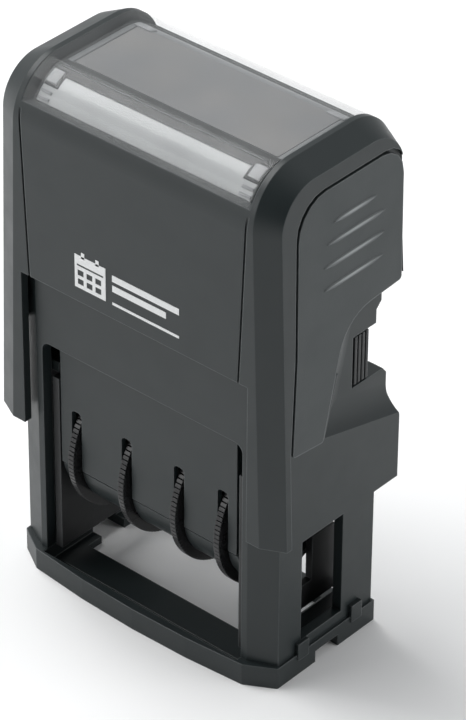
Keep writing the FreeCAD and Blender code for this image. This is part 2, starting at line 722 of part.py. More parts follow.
def make_window_unit():
    shell = dome("window_outer", 0.0, "dims.window_bottom + 0.02", d("window_half_width"))
    core = dome("window_inner", 1.1, "dims.window_bottom - 1", "dims.window_half_width - 0.9")
    keep(less("window_cut", shell, [core]), "index_window")
    plate = dome("plate_outer", 1.45, "dims.window_bottom + 0.02", "dims.window_half_width - 1.1")
    plate_core = dome("plate_inner", 2.6, "dims.window_bottom - 1", "dims.window_half_width - 2.2")
    card_bed = block("card_bed", ("-17.9", 17.9), (-5.0, 7.9), ("dims.cap_top - 1.75", "dims.cap_top"))
    keep(less("plate_cut", plate, [plate_core, card_bed]), "card_plate")
    card = block("index_card", (-17.7, 17.7), (-4.8, 7.7), ("dims.cap_top - 1.75", "dims.cap_top - 1.5"))
    keep(card, "index_card")


def make_front_emblem():
    """Make the raised mark: a calendar sheet and plain bars over a rule."""
    depth = ("-dims.cap_front - 0.06", "-dims.cap_front")
    through = ("-dims.cap_front - 1", "-dims.cap_front + 1")
    sheet = block("mark_sheet", (-10.2, -4.6), depth, (53.0, 58.2))
    cells = [block("mark_rule_gap", (-9.8, -5.0), through, (56.5, 56.8))]
    for row in range(2):
        for column in range(3):
            x = -9.65 + 1.6 * column
            z = 53.6 + 1.4 * row
            cells.append(block("mark_cell_%d_%d" % (row, column), (x, x + 1.05), through, (z, z + 0.9)))
    pieces = [less("mark_calendar", sheet, cells)]
    for x in (-9.0, -6.4):
        pieces.append(block("mark_ring_%d" % -x, (x, x + 0.6), depth, (57.9, 58.8)))
    for index, (reach, z) in enumerate(((8.5, 57.2), (6.2, 55.6))):
        pieces.append(block("mark_bar_%d" % index, (-3.4, reach), depth, (z - 0.5, z + 0.5)))
    pieces.append(block("mark_rule", (-3.4, 8.5), depth, (53.0, 53.4)))
    group = doc.addObject("Part::Compound", "mark_group")
    group.Links = pieces
    return keep(group, "front_emblem")


def make_band_guard():
    body = new_body("band_guard_plate")
    front = "-dims.guard_front"
    plate = rectangle("-dims.guard_half_width", d("guard_half_width"), d("guard_bottom"), "dims.deck_bottom")
    pad(body, outline(body, "guard_face", "XZ_Plane", "dims.guard_front - dims.guard_wall", [plate]),
        d("guard_wall"))
    slots = []
    for x in WHEEL_PLACES:
        middle = x + SLOT_SHIFT
        slots.append(rectangle("%r - dims.slot_width / 2" % middle, "%r + dims.slot_width / 2" % middle,
                               "dims.guard_bottom - 1", d("slot_top")))
    pocket(body, outline(body, "guard_slots", "XZ_Plane", 5, slots), 10)
    dress(body, "Fillet", "slot_tops", 0.7, lambda e: straight_along(e, "y")
          and near(e.BoundBox.ZMin, number_of(d("slot_top"))))
    pieces = [body]
    for side in (-1, 1):
        word = side_word(side)
        span_x = span(side, d("lug_inner"), d("guard_half_width"))
        arm = block("guard_arm_" + word, span_x, ("%s + 0.1" % front, "dims.axle_back"), (22.2, 27.8))
        web = block("guard_web_" + word, span_x, ("%s + 0.1" % front, -8.2), (d("guard_bottom"), 34.6))
        lug = rod("guard_lug_" + word, span_x, d("axle_back"), d("axle_height"), 3.4)
        pieces += [arm, web, lug]
    whole = joined("guard_whole", pieces)
    bore = rod("guard_bore", (-20, 20), d("axle_back"), d("axle_height"), "dims.trunnion_radius + 0.05")
    return keep(less("guard_cut", whole, [bore]), "band_guard")


def make_return_spring(side):
    word = side_word(side)
    coil = doc.addObject("Part::Helix", "spring_path_" + word)
    coil.setExpression("Radius", d("spring_radius"))
    coil.setExpression("Height", "dims.deck_bottom - dims.shoulder_height - dims.spring_wire - 0.1")
    coil.Pitch = 3.0
    place(coil, "%d * dims.spring_offset" % side, -1.0, "dims.shoulder_height + dims.spring_wire / 2 + 0.05")
    wire = doc.addObject("Part::Circle", "spring_wire_" + word)
    wire.setExpression("Radius", "dims.spring_wire / 2")
    place(wire, "%d * dims.spring_offset + dims.spring_radius" % side, -1.0,
          "dims.shoulder_height + dims.spring_wire / 2 + 0.05", Rotation(Vector(1, 0, 0), 90))
    doc.recompute()
    sweep = doc.addObject("Part::Sweep", "spring_" + word)
    sweep.Sections = [wire]
    sweep.Spine = (coil, ["Edge%d" % (i + 1) for i in range(len(coil.Shape.Edges))])
    sweep.Solid = True
    sweep.Frenet = True
    doc.recompute()
    return keep(sweep, "return_spring_" + word)


# ------------------------------------------------------------ date block
def make_yoke_cheek(side):
    """Make one side plate of the block, with its trunnion and turning pin."""
    word = side_word(side)
    thickness = span(side, d("cheek_inner"), d("cheek_outer"))
    reach = span(side, "dims.cheek_outer - 0.1", 17.6)
    pieces = [
        block("cheek_plate_" + word, thickness, (-2.6, 4.6), (16.8, 33.4)),
        rod("cheek_round_" + word, thickness, 0.0, d("wheel_height"), 3.87),
        rod("cheek_trunnion_" + word, reach, d("axle_back"), d("axle_height"), d("trunnion_radius")),
        rod("cheek_pin_" + word, reach, d("axle_back"), "dims.axle_height - dims.pin_reach", d("pin_radius")),
    ]
    bore = rod("cheek_bore_" + word, span(side, 14.0, 15.16), 0.0, d("wheel_height"), "dims.rod_radius + 0.04")
    seat = block("cheek_seat_" + word, span(side, 14.0, 16.0), (-1.0, 2.5), (31.6, 34.0))
    whole = joined("cheek_whole_" + word, pieces)
    return keep(less("cheek_cut_" + word, whole, [bore, seat]), "yoke_cheek_" + word)


def inside_bands(name, y, z):
    """Make one block within each band loop."""
    pieces = []
    for index, (low, high) in enumerate(BAND_SPANS):
        pieces.append(block("%s_%d" % (name, index), (low + 0.3, high - 0.3), y, z))
    return pieces


def make_nose_bar():
    """Make the anvil under the bands, cut round the wheels, with a foot inside each band."""
    body = new_body("nose_core")
    nose = ((-1.7, 30.4), (3.2, 30.4), (3.2, 32.9), (2.7, 33.45), (-1.2, 33.45), (-1.7, 32.9))
    pad(body, outline(body, "nose_profile", "YZ_Plane", 0, [nose]), "2 * (dims.cheek_inner - 0.05)",
        both_ways=True)
    tenons = []
    for side in (-1, 1):
        reach = span(side, "dims.cheek_inner - 0.15", d("cheek_outer"))
        tenons.append(block("nose_tenon_" + side_word(side), reach, (-0.98, 2.48), (31.65, 33.3)))
    whole = joined("nose_whole", [body] + tenons + inside_bands("nose_foot", (-1.2, 2.7), (24.5, 30.6)))
    cuts = []
    for index, x in enumerate(WHEEL_PLACES):
        cuts.append(rod("nose_gap_%d" % index, ("%r - dims.slot_width / 2" % x, "%r + dims.slot_width / 2" % x),
                        0.0, d("wheel_height"), "dims.wheel_radius + 0.2"))
    return keep(less("nose_cut", whole, cuts), "nose_bar")


def polar(radius, degrees):
    """Give the y and z of a point at a radius and an angle about the wheels' axle."""
    angle = math.radians(degrees)
    return radius * math.cos(angle), number_of(d("wheel_height")) + radius * math.sin(angle)


def make_wheel_shroud():
    """Make the rolled cover between the wheels, with end plates and a bridge behind the wheels."""
    wide = ("-dims.guard_half_width", d("guard_half_width"))
    inner = "dims.shroud_radius - dims.shroud_wall"
    drum = rod("shroud_drum", wide, 0.0, d("wheel_height"), d("shroud_radius"))
    hollow = rod("shroud_hollow", (-17.0, 17.0), 0.0, d("wheel_height"), inner)
    pieces = [less("shroud_ring", drum, [hollow])]
    cuts = []
    for side in (-1, 1):
        word = side_word(side)
        pieces.append(rod("shroud_end_" + word, span(side, 14.5, 15.1), 0.0, d("wheel_height"), 9.9))
        room = span(side, 14.2, 15.4)
        cuts.append(rod("shroud_hub_room_" + word, room, 0.0, d("wheel_height"), 3.9))
        cuts.append(block("shroud_cheek_room_" + word, room, (-2.65, 4.65), ("dims.wheel_height - 3.9", 40.0)))
    body = new_body("shroud_bridge")
    steps = [BRIDGE_START + (SHROUD_END - BRIDGE_START) * step / 3 for step in range(4)]
    bridge = [polar(BRIDGE_RADIUS, angle) for angle in steps]
    bridge += [polar(number_of(d("shroud_radius")) - 0.4, angle) for angle in reversed(steps)]
    pad(body, outline(body, "shroud_bridge_face", "YZ_Plane", 0, [bridge]), "2 * dims.guard_half_width",
        both_ways=True)
    pieces.append(body)
    away = new_body("shroud_away")
    wedge = (polar(0.0, 0.0), polar(30.0, SHROUD_END), (40.0, 60.0), (-40.0, 60.0), polar(30.0, SHROUD_START))
    pad(away, outline(away, "shroud_away_face", "YZ_Plane", 0, [wedge]), 40, both_ways=True)
    cuts.append(away)
    for index, x in enumerate(WHEEL_PLACES):
        reach = ("%r - dims.slot_width / 2" % x, "%r + dims.slot_width / 2" % x)
        cuts.append(rod("shroud_slot_%d" % index, reach, 0.0, d("wheel_height"), "dims.wheel_radius + 0.35"))
    return keep(less("shroud_cut", joined("shroud_whole", pieces), cuts), "wheel_shroud")


def make_wheel_axle():
    shaft = rod("axle_shaft", (-15.38, 15.38), 0.0, d("wheel_height"), d("rod_radius"))
    grooves = []
    for side in (-1, 1):
        word = side_word(side)
        around = rod("axle_neck_" + word, span(side, d("cheek_outer"), 15.3), 0.0, d("wheel_height"), 3.0)
        core = rod("axle_core_" + word, span(side, 15.1, 15.35), 0.0, d("wheel_height"), 1.15)
        grooves.append(less("axle_ring_" + word, around, [core]))
    return keep(less("axle_cut", shaft, grooves), "wheel_axle")


def make_axle_clips():
    rings = []
    for side in (-1, 1):
        word = side_word(side)
        disc = rod("clip_disc_" + word, span(side, 15.17, 15.28), 0.0, d("wheel_height"), 2.0)
        hole = rod("clip_hole_" + word, span(side, 15.0, 15.5), 0.0, d("wheel_height"), 1.17)
        gap = block("clip_gap_" + word, span(side, 15.0, 15.5), (-0.7, 0.7),
                    ("dims.wheel_height - 3", "dims.wheel_height"))
        rings.append(less("clip_" + word, disc, [hole, gap]))
    group = doc.addObject("Part::Compound", "clip_pair")
    group.Links = rings
    return keep(group, "axle_clips")


def make_thumb_wheel(index):
    word = NUMBER_WORDS[index]
    x = WHEEL_PLACES[index]
    low, high = BAND_SPANS[index]
    body = new_body("thumb_wheel_" + word)
    centre = (0.0, d("wheel_height"))
    rim = outline(body, "rim_" + word, "YZ_Plane", x, circles=[(centre, d("wheel_radius"))])
    pad(body, rim, d("wheel_width"), both_ways=True)
    hub_low, hub_high = min(low, x), max(high, x)
    hub = outline(body, "hub_" + word, "YZ_Plane", hub_low, circles=[(centre, d("hub_radius"))])
    pad(body, hub, hub_high - hub_low)
    crest = "dims.wheel_height + dims.wheel_radius + 0.2"
    tooth = ((-TOOTH_HALF, crest), (0.0, "dims.wheel_height + dims.wheel_radius - 0.32"), (TOOTH_HALF, crest))
    cut = pocket(body, outline(body, "tooth_" + word, "YZ_Plane", "%r - 1" % x, [tooth]), 2)
    axis = body.newObject("PartDesign::Line", "turn_line_" + word)
    axis.Placement = Placement(Vector(0, 0, number_of(d("wheel_height"))), Rotation(Vector(0, 1, 0), 90))
    ring = body.newObject("PartDesign::PolarPattern", "teeth_" + word)
    ring.Originals = [cut]
    ring.Axis = (axis, [""])
    ring.Angle = 360
    ring.Occurrences = TOOTH_COUNT
    body.Tip = ring
    doc.recompute()
    bore = outline(body, "bore_" + word, "YZ_Plane", -20, circles=[(centre, "dims.rod_radius + 0.05")])
    pocket(body, bore, 40)
    return keep(body, "thumb_wheel_" + word)


def band_outline(gap):
    """Give the loop round the hub and the nose at a stated distance from them."""
    height = number_of(d("wheel_height"))
    radius = number_of(d("hub_radius")) + gap
    points = []
    for step in range(13):
        angle = math.radians(180.0 + 15.0 * step)
        points.append((radius * math.cos(angle), height + radius * math.sin(angle)))
    points += [(3.2 + gap, 32.8), (2.75 + gap * 0.7, 33.4 + gap * 0.75), (2.4, 33.45 + gap),
               (-0.9, 33.45 + gap), (-1.25 - gap * 0.7, 33.4 + gap * 0.75), (-1.7 - gap, 32.8)]
    return tuple(points)


def make_date_band(index):
    word = NUMBER_WORDS[index]
    low, high = BAND_SPANS[index]
    body = new_body("band_core_" + word)
    width = high - low - 0.1
    pad(body, outline(body, "band_loop_" + word, "YZ_Plane", low + 0.05, [band_outline(0.75)]), width)
    pocket(body, outline(body, "band_void_" + word, "YZ_Plane", low - 1, [band_outline(0.06)]), high - low + 2)
    letters = block("band_type_" + word, (low + 0.5, high - 0.5), (-0.9, 2.4),
                    (34.1, "dims.axle_height + dims.face_reach"))
    return keep(joined("band_whole_" + word, [body, letters]), "date_band_" + word)


def make_detent_spring():
    """Make the group of leaves that press on the hubs, one inside each band."""
    group = doc.addObject("Part::Compound", "detent_leaves")
    group.Links = inside_bands("detent_leaf", (-1.1, 2.6), (24.15, 24.42))
    return keep(group, "detent_spring")


make_foot_ring()
make_frame_shell()
for side_sign in (-1, 1):
    make_cam_plate(side_sign)
make_ink_pad()
make_cap_housing()
for side_sign in (-1, 1):
    make_grip_panel(side_sign)
make_window_unit()
make_front_emblem()
make_band_guard()
for side_sign in (-1, 1):
    make_return_spring(side_sign)
for side_sign in (-1, 1):
    make_yoke_cheek(side_sign)
make_nose_bar()
make_wheel_shroud()
make_wheel_axle()
make_axle_clips()
for wheel_index in range(len(WHEEL_PLACES)):
    make_thumb_wheel(wheel_index)
for band_index in range(len(BAND_SPANS)):
    make_date_band(band_index)
make_detent_spring()
doc.recompute()

# ---------------------------------------------------------------- export
for thing in doc.Objects:
    faults = [state for state in thing.State if state in ("Invalid", "Error")]
    if faults:
        raise RuntimeError("%s is %s" % (thing.Name, faults))
os.makedirs("parts", exist_ok=True)
for thing in exported:
    shape = thing.Shape
    if shape.isNull() or not shape.isValid():
        raise RuntimeError("%s has no sound shape" % thing.Label)
    shape.exportStep(os.path.join("parts", thing.Label + ".step"))
    box = shape.BoundBox
    print("%-20s %d solid(s) %9.1f mm3  x %.1f..%.1f  y %.1f..%.1f  z %.1f..%.1f" % (
        thing.Label, len(shape.Solids), shape.Volume, box.XMin, box.XMax, box.YMin, box.YMax, box.ZMin, box.ZMax))
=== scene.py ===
"""Dressed scene of a self-inking rotary date stamp standing on a pale table."""
import logging
import math
from dataclasses import dataclass, field
from enum import Enum

import bmesh
import bpy
from mathutils import Matrix, Vector


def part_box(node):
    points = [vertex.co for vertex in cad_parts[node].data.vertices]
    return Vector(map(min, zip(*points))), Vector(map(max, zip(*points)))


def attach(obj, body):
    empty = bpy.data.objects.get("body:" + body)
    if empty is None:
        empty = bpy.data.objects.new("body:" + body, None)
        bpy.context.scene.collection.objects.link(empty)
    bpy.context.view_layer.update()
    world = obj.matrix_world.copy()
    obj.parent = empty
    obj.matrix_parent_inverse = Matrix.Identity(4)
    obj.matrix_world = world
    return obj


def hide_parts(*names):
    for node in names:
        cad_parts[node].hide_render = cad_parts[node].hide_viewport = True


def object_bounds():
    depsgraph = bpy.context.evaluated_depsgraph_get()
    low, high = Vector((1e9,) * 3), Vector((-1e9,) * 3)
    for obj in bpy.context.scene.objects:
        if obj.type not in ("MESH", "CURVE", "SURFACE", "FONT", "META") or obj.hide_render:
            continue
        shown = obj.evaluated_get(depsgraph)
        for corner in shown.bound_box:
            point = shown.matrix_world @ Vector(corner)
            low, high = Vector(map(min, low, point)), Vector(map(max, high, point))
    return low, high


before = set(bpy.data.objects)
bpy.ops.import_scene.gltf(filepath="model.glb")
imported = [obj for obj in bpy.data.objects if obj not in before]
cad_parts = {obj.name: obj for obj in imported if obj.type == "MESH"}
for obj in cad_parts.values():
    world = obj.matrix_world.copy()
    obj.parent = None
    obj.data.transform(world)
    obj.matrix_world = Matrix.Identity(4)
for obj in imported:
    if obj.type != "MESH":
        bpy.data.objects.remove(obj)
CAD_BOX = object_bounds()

log = logging.getLogger("date_stamp")

MM = 0.001
Colour = tuple[float, float, float]
Pair = tuple[float, float]

# crests of the ribs on the side panels, along which painted highlights run: front y, rear y and height, in mm
PANEL_RIB_HIGHLIGHTS = ((-1.7, 6.8, 72.6), (-3.0, 8.6, 69.7), (-3.6, 8.4, 66.4), (-3.6, 8.1, 63.0))
# half width of the painted highlight streak on each rib crest
CREST_HIGHLIGHT_HALF_MM = 0.3
TABLE_GAP_MM = 0.02
ROUNDING_SAMPLES = 6
RANGE_NAMES = ("From Min", "From Max", "To Min", "To Max")

# sockets of the colour mix node, which share names and so are reached by number
MIX_SHARE = 0
MIX_FIRST = 6
MIX_SECOND = 7
MIX_RESULT = 2


# ------------------------------------------------------------------ shading
class Sheet:
    """The node sheet of one material, with short calls for adding and linking nodes."""

    def __init__(self, name: str) -> None:
        """Start an empty sheet with a Principled shader and an output.

        Args:
            name: Name of the new material.
        """
        self.material = bpy.data.materials.new(name)
        self.material.use_nodes = True
        self.tree = self.material.node_tree
        self.tree.nodes.clear()
        self.output = self.add("ShaderNodeOutputMaterial")
        self.shader = self.add("ShaderNodeBsdfPrincipled")
        self.link(self.shader, "BSDF", self.output, "Surface")

    def add(self, kind: str, **inputs: object) -> bpy.types.Node:
        """Add a node and set its inputs.

        Args:
            kind: Blender's name of the node type.
            **inputs: Values by socket name, with underscores for spaces.

        Returns:
            The new node.
        """
        node = self.tree.nodes.new(kind)
        for name, value in inputs.items():
            node.inputs[name.replace("_", " ")].default_value = value
        return node

    def link(self, source: bpy.types.Node, out: str | int, target: bpy.types.Node, into: str | int) -> None:
        """Join one node's output to another node's input."""
        self.tree.links.new(source.outputs[out], target.inputs[into])

    def place(self) -> bpy.types.Node:
        """Give the node that reads the place on the object, in metres."""
        return self.add("ShaderNodeTexCoord")

    def noise(self, cell_mm: float, detail: float = 2.0, stretch: Colour = (1.0, 1.0, 1.0)) -> bpy.types.Node:
        """Add noise whose blobs have a stated size on the real object.

        Args:
            cell_mm: Size of one blob in millimetres.
            detail: Number of finer layers.
            stretch: Factors on the three axes; a small one draws the blobs out.

        Returns:
            The noise node.
        """
        mapping = self.add("ShaderNodeMapping", Scale=stretch)
        self.link(self.place(), "Object", mapping, "Vector")
        noise = self.add("ShaderNodeTexNoise", Scale=1.0 / (cell_mm * MM), Detail=detail)
        self.link(mapping, "Vector", noise, "Vector")
        return noise

    def spread(self, source: bpy.types.Node, out: str | int, low: float, high: float) -> bpy.types.Node:
        """Map a value from 0.3..0.7 to a stated range.

        Args:
            source: Node that gives the value.
            out: Its output.
            low: Result at 0.3.
            high: Result at 0.7.

        Returns:
            The mapping node, whose output is named Result.
        """
        node = self.add("ShaderNodeMapRange")
        for name, value in zip(RANGE_NAMES, (0.3, 0.7, low, high)):
            node.inputs[name].default_value = value
        self.link(source, out, node, "Value")
        return node

    def tones(self, source: bpy.types.Node, out: str | int, first: Colour, second: Colour) -> bpy.types.Node:
        """Blend two colours by a value.

        Args:
            source: Node that gives the value.
            out: Its output.
            first: Colour at 0.
            second: Colour at 1.

        Returns:
            The colour ramp node, whose output is named Color.
        """
        ramp = self.add("ShaderNodeValToRGB")
        ramp.color_ramp.elements[0].color = (*first, 1.0)
        ramp.color_ramp.elements[1].color = (*second, 1.0)
        self.link(source, out, ramp, "Fac")
        return ramp

    def softened(self, edge_mm: float) -> bpy.types.Node:
        """Add a normal that rounds hard edges by a stated radius."""
        bevel = self.add("ShaderNodeBevel", Radius=edge_mm * MM)
        bevel.samples = ROUNDING_SAMPLES
        return bevel

    def bump(self, source: bpy.types.Node, out: str | int, depth_mm: float,
             under: bpy.types.Node | None = None) -> bpy.types.Node:
        """Add relief from a height value and send it to the shader's normal.

        Args:
            source: Node that gives the height.
            out: Its output.
            depth_mm: Height of the relief in millimetres.
            under: Node whose normal lies under the relief.

        Returns:
            The bump node.
        """
        bump = self.add("ShaderNodeBump", Strength=1.0, Distance=depth_mm * MM)
        self.link(source, out, bump, "Height")
        if under is not None:
            self.link(under, "Normal", bump, "Normal")
        self.link(bump, "Normal", self.shader, "Normal")
        return bump

    def math(self, operation: str, *terms: object) -> bpy.types.Node:
        """Add a math node on numbers, nodes or pairs of a node and an output.

        Args:
            operation: Blender's name of the operation.
            *terms: The terms in order.

        Returns:
            The math node.
        """
        node = self.add("ShaderNodeMath")
        node.operation = operation
        for index, term in enumerate(terms):
            if isinstance(term, (int, float)):
                node.inputs[index].default_value = term
            elif isinstance(term, tuple):
                self.link(term[0], term[1], node, index)
            else:
                self.link(term, 0, node, index)
        return node

    def rubbed_and_highlit_edges(self, base: bpy.types.Node, out: str | int, rounded: bpy.types.Node, wear_and_highlight: Colour) -> None:
        """Lighten the colour where the surface turns over an edge, partly as rubbed wear and partly as a
        painted edge highlight.

        Args:
            base: Node that gives the plain colour.
            out: Its output.
            rounded: The softened normal.
            wear_and_highlight: Colour of a rubbed edge, also used as a painted edge highlight.
        """
        geometry = self.add("ShaderNodeNewGeometry")
        dot = self.add("ShaderNodeVectorMath")
        dot.operation = "DOT_PRODUCT"
        self.link(rounded, "Normal", dot, 0)
        self.link(geometry, "Normal", dot, 1)
        edge = self.add("ShaderNodeMapRange")
        for name, value in zip(RANGE_NAMES, (0.995, 0.86, 0.0, 0.55)):
            edge.inputs[name].default_value = value
        self.link(dot, "Value", edge, "Value")
        # mix in the lighter edge colour: partly rubbed wear, partly painted highlight
        mix = self.add("ShaderNodeMix")
        mix.data_type = "RGBA"
        mix.inputs[MIX_SECOND].default_value = (*wear_and_highlight, 1.0)
        self.link(edge, "Result", mix, MIX_SHARE)
        self.link(base, out, mix, MIX_FIRST)
        self.link(mix, MIX_RESULT, self.shader, "Base Color")


class Grain(Enum):
    """Moulded surface grains, as (cell in mm, depth in mm)."""

    POLISHED = (0.9, 0.0012)
    SATIN = (0.16, 0.0045)
    MATT = (0.24, 0.009)


@dataclass(frozen=True)
class MouldedPlastic:
    """Opaque moulded plastic with mould grain, cloudy tone, lighter edges that are partly rubbed wear and
    partly painted highlight, and painted highlights along rib crests.
    """

    name: str
    tone: Colour
    rough: Pair
    grain: Grain = Grain.SATIN
    edge_mm: float = 0.22
    # lighter edge colour, partly rubbed wear and partly painted highlight
    wear_and_highlight: Colour = (0.15, 0.163, 0.167)
    specular: float = 0.4
    # rib crests that get painted highlight streaks
    ribs: tuple[Colour, ...] = ()

    def rib_highlight_mask(self, sheet: Sheet) -> bpy.types.Node:
        """Add a painted highlight mask that is 1 along the crests of tapered ribs and 0 elsewhere.

        Args:
            sheet: Sheet of the finish.

        Returns:
            The node whose first output is the mask.
        """
        split = sheet.add("ShaderNodeSeparateXYZ")
        sheet.link(sheet.place(), "Object", split, "Vector")
        crests = []
        for front, rear, height in self.ribs:
            middle = (front + rear) / 2 * MM
            half = (rear - front) / 2 * MM
            along = sheet.math("SUBTRACT", (split, "Y"), middle)
            reach = sheet.math("POWER", sheet.math("DIVIDE", sheet.math("ABSOLUTE", along), half), 2.0)
            across = sheet.math("ABSOLUTE", sheet.math("SUBTRACT", (split, "Z"), height * MM))
            thin = sheet.math("POWER", sheet.math("DIVIDE", across, CREST_HIGHLIGHT_HALF_MM * MM), 2.0)
            left = sheet.math("SUBTRACT", 1.0, sheet.math("ADD", reach, thin))
            crests.append(sheet.math("MAXIMUM", left, 0.0))
        total = crests[0]
        for crest in crests[1:]:
            total = sheet.math("MAXIMUM", total, crest)
        return total

    def material(self) -> bpy.types.Material:
        """Build the finish.

        Returns:
            The material.
        """
        sheet = Sheet(self.name)
        cell, depth = self.grain.value
        cloud = sheet.noise(9.0, 3.0)
        dark = tuple(0.9 * part for part in self.tone)
        light = tuple(1.1 * part for part in self.tone)
        colour = sheet.tones(cloud, "Fac", dark, light)
        rounded = sheet.softened(self.edge_mm)
        # paint highlight streaks along the rib crests in the light edge colour
        if self.ribs:
            glow = sheet.add("ShaderNodeMix")
            glow.data_type = "RGBA"
            glow.inputs[MIX_SECOND].default_value = (*self.wear_and_highlight, 1.0)
            sheet.link(self.rib_highlight_mask(sheet), 0, glow, MIX_SHARE)
            sheet.link(colour, "Color", glow, MIX_FIRST)
            sheet.rubbed_and_highlit_edges(glow, MIX_RESULT, rounded, self.wear_and_highlight)
        else:
            sheet.rubbed_and_highlit_edges(colour, "Color", rounded, self.wear_and_highlight)
        smudge = sheet.noise(4.0, 4.0)
        rough = sheet.spread(smudge, "Fac", *self.rough)
        sheet.link(rough, "Result", sheet.shader, "Roughness")
        sheet.bump(sheet.noise(cell, 1.0), "Fac", depth, rounded)
        sheet.shader.inputs["Specular IOR Level"].default_value = self.specular
        return sheet.material


@dataclass(frozen=True)
class ClearPlastic:
    """Clear polished plastic, made as a thin smoky glossy skin with faint flow ripples."""

    name: str
    tone: Colour = (0.30, 0.312, 0.316)
    opacity: Pair = (0.15, 0.23)

    def material(self) -> bpy.types.Material:
        """Build the finish.

        Returns:
            The material.
        """
        sheet = Sheet(self.name)
        shader = sheet.shader
        ripple = sheet.noise(6.0, 2.0, (1.0, 2.5, 1.0))
        colour = sheet.tones(ripple, "Fac", tuple(0.9 * part for part in self.tone), self.tone)
        sheet.link(colour, "Color", shader, "Base Color")
        rough = sheet.spread(ripple, "Fac", 0.05, 0.12)
        sheet.link(rough, "Result", shader, "Roughness")
        haze = sheet.spread(sheet.noise(11.0, 1.0), "Fac", *self.opacity)
        sheet.link(haze, "Result", shader, "Alpha")
        shader.inputs["Specular IOR Level"].default_value = 0.6
        sheet.bump(ripple, "Fac", 0.004, sheet.softened(0.3))
        return sheet.material


@dataclass(frozen=True)
class PlatePlastic:
    """Grey plate under the clear window, cloudy as through a thick cover."""

    name: str
    dark: Colour = (0.16, 0.168, 0.172)
    light: Colour = (0.34, 0.352, 0.358)

    def material(self) -> bpy.types.Material:
        """Build the finish.

        Returns:
            The material.
        """
        sheet = Sheet(self.name)
        cloud = sheet.noise(14.0, 1.0, (0.6, 1.0, 1.0))
        colour = sheet.tones(cloud, "Fac", self.dark, self.light)
        sheet.link(colour, "Color", sheet.shader, "Base Color")
        sheet.shader.inputs["Roughness"].default_value = 0.32
        sheet.bump(sheet.noise(0.3, 1.0), "Fac", 0.003, sheet.softened(0.3))
        return sheet.material


@dataclass(frozen=True)
class PrintedCard:
    """Grey paper card with soft warm and cool blots and paper fibre."""

    name: str
    cool: Colour = (0.225, 0.236, 0.25)
    warm: Colour = (0.315, 0.300, 0.285)

    def material(self) -> bpy.types.Material:
        """Build the finish.

        Returns:
            The material.
        """
        sheet = Sheet(self.name)
        blots = sheet.noise(8.0, 0.5)
        colour = sheet.tones(blots, "Fac", self.cool, self.warm)
        sheet.link(colour, "Color", sheet.shader, "Base Color")
        sheet.shader.inputs["Roughness"].default_value = 0.75
        sheet.bump(sheet.noise(0.12, 3.0, (0.4, 1.0, 1.0)), "Fac", 0.002)
        return sheet.material


@dataclass(frozen=True)
class InkedFelt:
    """Felt soaked with blue-black ink."""

    name: str
    tone: Colour = (0.012, 0.012, 0.03)

    def material(self) -> bpy.types.Material:
        """Build the finish.

        Returns:
            The material.
        """
        sheet = Sheet(self.name)
        fibre = sheet.noise(0.22, 4.0)
        colour = sheet.tones(fibre, "Fac", self.tone, tuple(2.4 * part for part in self.tone))
        sheet.link(colour, "Color", sheet.shader, "Base Color")
        rough = sheet.spread(sheet.noise(2.5), "Fac", 0.45, 0.8)
        sheet.link(rough, "Result", sheet.shader, "Roughness")
        sheet.shader.inputs["Sheen Weight"].default_value = 0.25
        sheet.bump(fibre, "Fac", 0.05)
        return sheet.material


@dataclass(frozen=True)
class DrawnSteel:
    """Bright drawn wire or turned rod, with fine lines along X."""

    name: str
    tone: Colour = (0.52, 0.52, 0.53)

    def material(self) -> bpy.types.Material:
        """Build the finish.

        Returns:
            The material.
        """
        sheet = Sheet(self.name)
        lines = sheet.noise(0.15, 3.0, (0.08, 1.0, 1.0))
        colour = sheet.tones(lines, "Fac", tuple(0.8 * part for part in self.tone), self.tone)
        sheet.link(colour, "Color", sheet.shader, "Base Color")
        rough = sheet.spread(lines, "Fac", 0.2, 0.38)
        sheet.link(rough, "Result", sheet.shader, "Roughness")
        sheet.shader.inputs["Metallic"].default_value = 1.0
        sheet.bump(lines, "Fac", 0.003)
        return sheet.material


@dataclass(frozen=True)
class BandRubber:
    """Dark rubber with a dusty bloom."""

    name: str
    tone: Colour = (0.03, 0.03, 0.03)

    def material(self) -> bpy.types.Material:
        """Build the finish.

        Returns:
            The material.
        """
        sheet = Sheet(self.name)
        bloom = sheet.noise(1.6, 4.0)
        colour = sheet.tones(bloom, "Fac", self.tone, tuple(1.9 * part for part in self.tone))
        sheet.link(colour, "Color", sheet.shader, "Base Color")
        rough = sheet.spread(bloom, "Fac", 0.55, 0.8)
        sheet.link(rough, "Result", sheet.shader, "Roughness")
        sheet.bump(sheet.noise(0.2, 2.0), "Fac", 0.01, sheet.softened(0.12))
        return sheet.material


@dataclass(frozen=True)
class PadPrint:
    """White pad print, slightly uneven."""

    name: str
    tone: Colour = (0.80, 0.81, 0.81)

    def material(self) -> bpy.types.Material:
        """Build the finish.

        Returns:
            The material.
        """
        sheet = Sheet(self.name)
        wear = sheet.noise(0.35, 3.0)
        colour = sheet.tones(wear, "Fac", tuple(0.85 * part for part in self.tone), self.tone)
        sheet.link(colour, "Color", sheet.shader, "Base Color")
        sheet.shader.inputs["Roughness"].default_value = 0.5
        sheet.bump(wear, "Fac", 0.002)
        return sheet.material


@dataclass(frozen=True)
class TableTop:
    """Pale matt table top with the faintest mottling."""

    name: str
    tone: Colour = (0.97, 0.972, 0.972)

    def material(self) -> bpy.types.Material:
        """Build the finish.

        Returns:
            The material.
        """
        sheet = Sheet(self.name)
        cloud = sheet.noise(40.0, 2.0)
        colour = sheet.tones(cloud, "Fac", tuple(0.99 * part for part in self.tone), self.tone)
        sheet.link(colour, "Color", sheet.shader, "Base Color")
        sheet.shader.inputs["Roughness"].default_value = 0.85
        sheet.shader.inputs["Specular IOR Level"].default_value = 0.1
        return sheet.material


